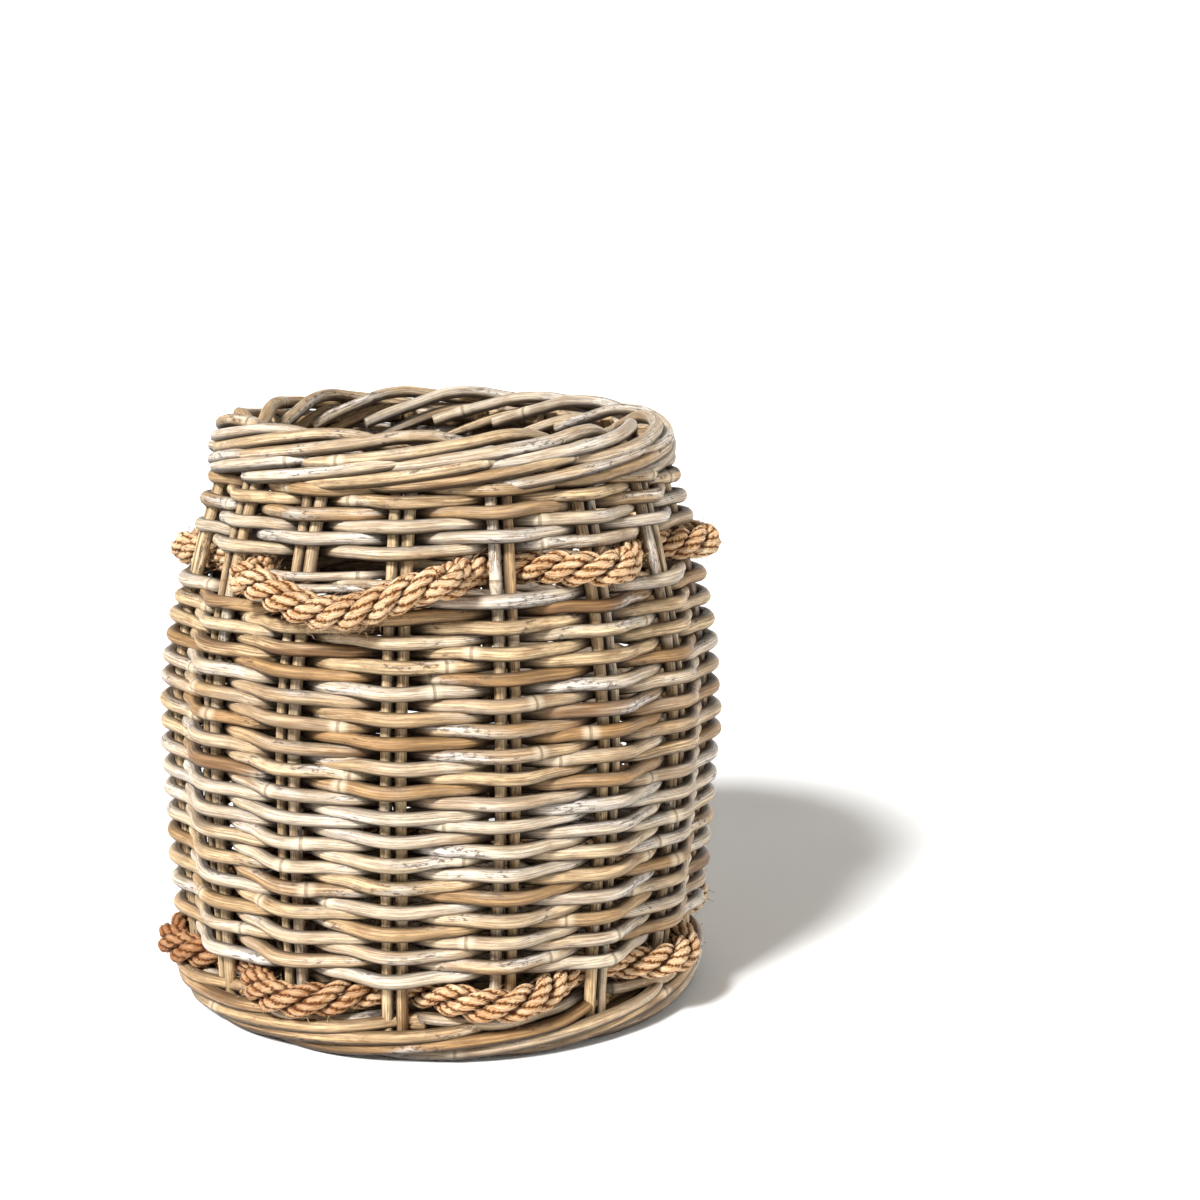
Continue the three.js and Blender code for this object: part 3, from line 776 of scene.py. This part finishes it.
# Near the middle the spokes lie closer, so the rounds pass over two or four of them at a time.
BASE_CANE = 0.0078
BASE_ROUND_PITCH = 0.0086
FIRST_ROUND = 0.014
PAIRED_WITHIN = 0.09
FOURS_WITHIN = 0.04
BASE_SCARF = 0.03
rounds = Bundle()
for number, reach in enumerate(np.arange(FIRST_ROUND, base_reach - BASE_CANE / 2.0, BASE_ROUND_PITCH)):
    steps = max(48, int(2.0 * math.pi * reach / 0.006))
    start = rng.uniform(0.0, 6.3)
    turn = np.linspace(start, start + 2.0 * math.pi + BASE_SCARF / reach, steps)
    together = 1 if reach > PAIRED_WITHIN else 2 if reach > FOURS_WITHIN else 4
    wave = np.cos(turn * (BASE_SPOKES // together) / 2.0) * (1.0 if number % 2 else -1.0)
    swing = 0.0040 if reach > FOURS_WITHIN else 0.0052
    taper = np.clip(np.minimum(turn - start, turn[-1] - turn) * reach / BASE_SCARF, 0.0, 1.0)
    width = BASE_CANE / 2.0 * (0.4 + 0.6 * taper)
    line = around(turn, reach + wander(turn, (2, 5), 0.0007), base_level + swing * wave)
    rounds.sweep(line, width, UPRIGHT, 8, rng.uniform(0.0, 0.9), rng.uniform(0.2, 0.8))
rounds.finish("base_rounds", weaver_cane, "root", ["base_weave"])


# ---- Lower rope ----
# Left-laid three-strand rope of coarse golden fibre, laced inside one pair of stakes and outside
# the next, between the foot and the siding. Its ends meet inside, behind a pair of stakes.
ROPE = 0.026
ROPE_LAY = 0.074
ROPE_STEP = 0.0019
# The centres of three rods that touch lie this many rod radii from their middle.
THREE_ROUND = 1.1547
STRAND_RADIUS = ROPE / 2.0 / (1.0 + THREE_ROUND)
HELIX_RADIUS = THREE_ROUND * STRAND_RADIUS
YARNS = 4
YARN_LAY = 0.031
ROPE_EASE = 0.0012
ROPE_SWING = ROPE / 2.0 + STAKE / 2.0 + ROPE_EASE
DARK_GOLD = (0.30, 0.112, 0.030, 1.0)
PALE_GOLD = (0.74, 0.405, 0.165, 1.0)
FRESH_FIBRE = (0.86, 0.60, 0.34, 1.0)
CREST_HIGHLIGHT = (0.95, 0.83, 0.64, 1.0)
DARK_THREAD = (0.26, 0.095, 0.028, 1.0)
CREASE_SHADE = (0.085, 0.024, 0.006, 1.0)
GROOVE_SHADE = (0.08, 0.025, 0.006, 1.0)


def rope_fibre_group():
    """Coarse twisted fibre: painted highlights on the crests, painted shade in the creases, darker
    lengths.
    """
    group = bpy.data.node_groups.new("rope_fibre", "ShaderNodeTree")
    add_sockets(group, "INPUT", Place="Vector", Tone="Float", Shade="Float")
    add_sockets(group, "OUTPUT", Colour="Color", Roughness="Float", Height="Float")
    start = group.nodes.new("NodeGroupInput")
    end = group.nodes.new("NodeGroupOutput")
    place, tone = start.outputs["Place"], start.outputs["Tone"]

    # The yarns and their threads run at a slant round each strand.
    parts = group.nodes.new("ShaderNodeSeparateXYZ")
    group.links.new(place, parts.inputs["Vector"])
    twist = -2.0 * math.pi * STRAND_RADIUS / YARN_LAY
    slant = add_maths(group, "MULTIPLY_ADD", parts.outputs["X"], twist, parts.outputs["Y"])
    twisted = group.nodes.new("ShaderNodeCombineXYZ")
    group.links.new(parts.outputs["X"], twisted.inputs["X"])
    group.links.new(slant, twisted.inputs["Y"])
    threads = along_noise(group, twisted.outputs["Vector"], 90.0, 1500.0, 4.0, 0.7)
    tufts = along_noise(group, place, 190.0, 420.0, 3.0, 0.6)
    patches = along_noise(group, place, 25.0, 70.0, 2.0, 0.5)
    yarn = add_maths(group, "MULTIPLY", slant, YARNS / (2.0 * math.pi * STRAND_RADIUS))
    yarn = add_maths(group, "MULTIPLY_ADD", tufts, 0.9, add_maths(group, "SUBTRACT", yarn, 0.45))
    ridge = add_maths(group, "COSINE", add_maths(group, "MULTIPLY", yarn, 2.0 * math.pi))
    ridge = add_maths(group, "MULTIPLY_ADD", ridge, 0.5, 0.5)

    # Paler lengths get painted highlights on the yarns' crests, and every crease gets painted shade.
    fresh = add_maths(group, "MULTIPLY_ADD", tone, 0.8, 0.2)
    gold = add_mix(group, tone, DARK_GOLD, PALE_GOLD)
    varied = add_mix(group, add_maths(group, "MULTIPLY", add_ramp(group, patches, 0.42, 0.66), fresh),
                     gold, FRESH_FIBRE)
    shine = add_maths(group, "MULTIPLY", add_ramp(group, threads, 0.42, 0.60),
                      add_ramp(group, ridge, 0.25, 0.85))
    shine = add_maths(group, "MULTIPLY", shine, fresh)
    lit = add_layer(group, varied, shine, 0.75, CREST_HIGHLIGHT)
    dim = add_layer(group, lit, add_ramp(group, threads, 0.36, 0.50, reverse=True), 0.85, DARK_THREAD)
    creased = add_layer(group, dim, add_ramp(group, ridge, 0.02, 0.34, reverse=True), 0.92, CREASE_SHADE)
    # Painted shade in the grooves between strands and in the yarns' creases, from the shade attribute.
    deep = add_layer(group, creased, add_ramp(group, start.outputs["Shade"], 0.6, 1.4), 0.8, GROOVE_SHADE)
    group.links.new(deep, end.inputs["Colour"])
    group.links.new(add_maths(group, "MULTIPLY_ADD", tufts, 0.2, 0.68), end.inputs["Roughness"])
    height = add_maths(group, "MULTIPLY_ADD", threads, 0.7, add_maths(group, "MULTIPLY", tufts, 0.6))
    height = add_maths(group, "MULTIPLY_ADD", ridge, 0.8, height)
    group.links.new(height, end.inputs["Height"])
    return group


rope_fibre = rope_fibre_group()

laid_rope = swept_material("laid_rope", rope_fibre, bump=1.0, depth=0.0012, gloss=0.2)


def even_line(points, step):
    """The same line with its points a step apart."""
    points = np.asarray(points, float)
    length = np.concatenate([[0.0], np.cumsum(np.linalg.norm(np.diff(points, axis=0), axis=1))])
    at = np.linspace(0.0, length[-1], max(8, int(round(length[-1] / step))))
    return np.stack([np.interp(at, length, points[:, axis]) for axis in range(3)], axis=-1), at


def yarn_relief(angle, run):
    """Four plump yarns, twisted the other way from the rope, that swell unevenly along a strand."""
    turned = angle - 2.0 * math.pi * run / YARN_LAY
    ridge = 0.5 + 0.5 * np.cos(YARNS * turned)
    uneven = np.sin(3.0 * angle + 310.0 * run) + np.sin(5.0 * angle - 570.0 * run + 1.0)
    uneven = uneven + np.sin(angle + 145.0 * run + 2.0) + np.sin(7.0 * angle + 890.0 * run)
    return 0.80 + 0.22 * ridge ** 0.7 + 0.014 * uneven


def lay_rope(bundle, line, run, lay, tone, sides=30):
    """Three strands twisted round a line; run is each point's distance along the whole rope."""
    tangent = np.gradient(line, axis=0)
    tangent /= np.linalg.norm(tangent, axis=1)[:, None]
    upright = np.array([0.0, 0.0, 1.0]) - tangent[:, 2:] * tangent
    upright /= np.linalg.norm(upright, axis=1)[:, None]
    sideways = np.cross(tangent, upright)
    for strand in range(3):
        phase = -2.0 * math.pi * run / lay + strand * 2.0 * math.pi / 3.0
        outward = upright * np.cos(phase)[:, None] + sideways * np.sin(phase)[:, None]
        bundle.sweep(line + HELIX_RADIUS * outward, STRAND_RADIUS, outward, sides, tone, 1.0, yarn_relief)


def fray(bundle, line, count, longest, margin=0.0):
    """Loose fibres that stand out of a rope's surface."""
    tangent = np.gradient(line, axis=0)
    tangent /= np.linalg.norm(tangent, axis=1)[:, None]
    for _ in range(count):
        at = int(len(line) * rng.uniform(0.01 + margin, 0.99 - margin))
        away = rng.normal(size=3)
        away -= (away @ tangent[at]) * tangent[at]
        away /= np.linalg.norm(away)
        length = longest * rng.uniform(0.25, 1.0) ** 1.5
        share = np.linspace(0.0, 1.0, 6)[:, None]
        along = tangent[at] * rng.choice((-1.0, 1.0)) * rng.uniform(0.6, 1.2)
        curl = rng.normal(size=3) * 0.35
        hair = line[at] + away * (ROPE * 0.44 + share * length * 0.40) + along * share * length * 0.8
        hair = hair + curl * share ** 2 * length * 0.6
        bundle.sweep(hair, HAIR_RADIUS * (1.0 - 0.5 * share[:, 0]), np.cross(along, away), 3,
                     rng.uniform(0.5, 1.0), 1.0)


HAIR_RADIUS = 0.00026
LOWER_HAIRS = 700
LOWER_HAIR_LENGTH = 0.018
LOWER_SWING = ROPE_SWING - 0.001
LACING_POWER = 0.9
# The lower rope is darker on one side, which this angle sets.
DARK_SIDE_PHASE = math.radians(70.0)
lower_box_low, lower_box_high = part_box("lower_rope")
lower_level = (lower_box_low[2] + lower_box_high[2]) / 2.0
lower_reach = float(stake_radius(lower_level))
end_gap = 0.001 / lower_reach
turn = np.linspace(end_gap / 2.0, 2.0 * math.pi - end_gap / 2.0, 1600)
lacing = np.cos(turn * PAIRS / 2.0)
lacing = np.sign(lacing) * np.abs(lacing) ** LACING_POWER
rise = 0.0018 * lacing + wander(turn, (2, 5), 0.001)
turn = turn + pair_azimuth(0)
rise = rise + row_tilt(turn, lower_level)
lower_points = around(turn, lower_reach - LOWER_SWING * lacing, lower_level + rise)
lower_line, lower_run = even_line(lower_points, ROPE_STEP)
lower_tone = 0.5 + 0.5 * np.sin(np.arctan2(lower_line[:, 1], lower_line[:, 0]) + DARK_SIDE_PHASE)
lower_rope = Bundle()
lay_rope(lower_rope, lower_line, lower_run, ROPE_LAY, lower_tone)
lower_rope.finish("lower_rope_strands", laid_rope, "root", ["lower_rope"])
lower_fray = Bundle()
fray(lower_fray, lower_line, LOWER_HAIRS, LOWER_HAIR_LENGTH)
lower_fray.finish("lower_rope_fray", laid_rope, "root")


# ---- Upper rope ----
# The same rope, laced round the shoulder. Either side of a handle it comes out of the wall and
# ends at the handle's foot; behind the last two pairs it runs straight along the inside.
upper_low, upper_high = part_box("upper_rope_right")
UPPER_LEVEL = (upper_low[2] + upper_high[2]) / 2.0
UPPER_LAY = 0.060
HALF_SPAN = 0.076
HANDLE_DROP = 0.020
HANDLE_OUTSET = 0.020
HANDLE_EASE = 0.0006
hinge_reach = float(wall_radius(UPPER_LEVEL)) + ROPE / 2.0 + HANDLE_EASE
hinge_reach = math.sqrt(hinge_reach ** 2 - HALF_SPAN ** 2)
# On each side, 1 is a pair that the rope passes outside and -1 a pair that it passes inside. It
# keeps to that side for this share of a spacing before and after the pair.
UPPER_LACING = (-1, 1, -1, 1, -1, -1)
LACING_SHARE = 0.12
# The fixed rope runs on under a handle's foot, so that no cut end shows.
OVERLAP = 0.006
HAIRS_PER_METRE = 1200
HAIR_LENGTH = 0.022
BARE_SHARE = 0.13


def rounded(points, count):
    """A centripetal Catmull-Rom curve through points, evenly sampled."""
    points = np.asarray(points, float)
    points = np.concatenate([[2.0 * points[0] - points[1]], points, [2.0 * points[-1] - points[-2]]])
    out = []
    each = max(8, count // (len(points) - 3))
    for p0, p1, p2, p3 in zip(points[:-3], points[1:-2], points[2:-1], points[3:]):
        t1 = np.linalg.norm(p1 - p0) ** 0.5
        t2 = t1 + np.linalg.norm(p2 - p1) ** 0.5
        t3 = t2 + np.linalg.norm(p3 - p2) ** 0.5
        t = np.linspace(t1, t2, each, endpoint=False)[:, None]
        a1 = (t1 - t) / t1 * p0 + t / t1 * p1
        a2 = (t2 - t) / (t2 - t1) * p1 + (t - t1) / (t2 - t1) * p2
        a3 = (t3 - t) / (t3 - t2) * p2 + (t - t2) / (t3 - t2) * p3
        b1 = (t2 - t) / t2 * a1 + t / t2 * a2
        b2 = (t3 - t) / (t3 - t1) * a2 + (t - t1) / (t3 - t1) * a3
        out.append((t2 - t) / (t2 - t1) * b1 + (t - t1) / (t2 - t1) * b2)
    out.append(points[-2:-1])
    return np.concatenate(out)


def handle_points():
    share = np.linspace(0.0, 1.0, 121)
    bow = np.sin(math.pi * share)
    return np.stack([
        (2.0 * share - 1.0) * HALF_SPAN,
        -(hinge_reach + HANDLE_OUTSET * bow),
        UPPER_LEVEL - HANDLE_DROP * bow ** 1.6,
    ], axis=-1)


def side_points():
    """The fixed rope down the +X side, from the front handle's right foot to the back handle's."""
    slope = math.pi * HANDLE_OUTSET / (2.0 * HALF_SPAN)

    def shank(side):
        return [(HALF_SPAN - 0.024, -side * (hinge_reach + 0.024 * slope), UPPER_LEVEL),
                (HALF_SPAN, -side * hinge_reach, UPPER_LEVEL),
                (HALF_SPAN + 0.003, -side * (hinge_reach - 0.006), UPPER_LEVEL),
                (HALF_SPAN + 0.002, -side * (hinge_reach - 0.028), UPPER_LEVEL)]
    points = shank(1)
    for number, side in enumerate(UPPER_LACING):
        middle = (number + 1.5) * PAIR_ANGLE - math.pi / 2.0
        radius = float(stake_radius(UPPER_LEVEL)) + side * ROPE_SWING
        for offset in (-LACING_SHARE, LACING_SHARE):
            points.append(tuple(around(middle + offset * PAIR_ANGLE, radius, UPPER_LEVEL)))
    line = rounded(points + shank(-1)[::-1], 1200)
    return line[line[:, 0] >= HALF_SPAN - OVERLAP]


half_turn = np.array([-1.0, -1.0, 1.0])
upper_lines = [handle_points(), side_points(), handle_points() * half_turn, side_points() * half_turn]
for points in upper_lines:
    points[:, 2] += row_tilt(np.arctan2(points[:, 1], points[:, 0]), TILT_LEVEL)
upper_lengths = [float(np.linalg.norm(np.diff(line, axis=0), axis=1).sum()) for line in upper_lines]
upper_total = sum(upper_lengths) - 4.0 * OVERLAP
upper_lay = upper_total / round(upper_total / UPPER_LAY)
upper_names = ["handle_front", "upper_rope_right", "handle_back", "upper_rope_left"]
travelled = 0.0
for name, points, length in zip(upper_names, upper_lines, upper_lengths):
    body = name if name.startswith("handle") else "root"
    line, run = even_line(points, ROPE_STEP)
    if body == "root":
        run = run - OVERLAP
        length -= 2.0 * OVERLAP
    strands = Bundle()
    lay_rope(strands, line, travelled + run, upper_lay, 0.78 + wander(run, (1, 3), 0.15, length))
    rope = strands.finish(name + "_strands", laid_rope, body, [name])
    loose = Bundle()
    fray(loose, line, int(length * HAIRS_PER_METRE), HAIR_LENGTH, 0.0 if body == "root" else BARE_SHARE)
    fibres = loose.finish(name + "_fray", laid_rope, body)
    travelled += length
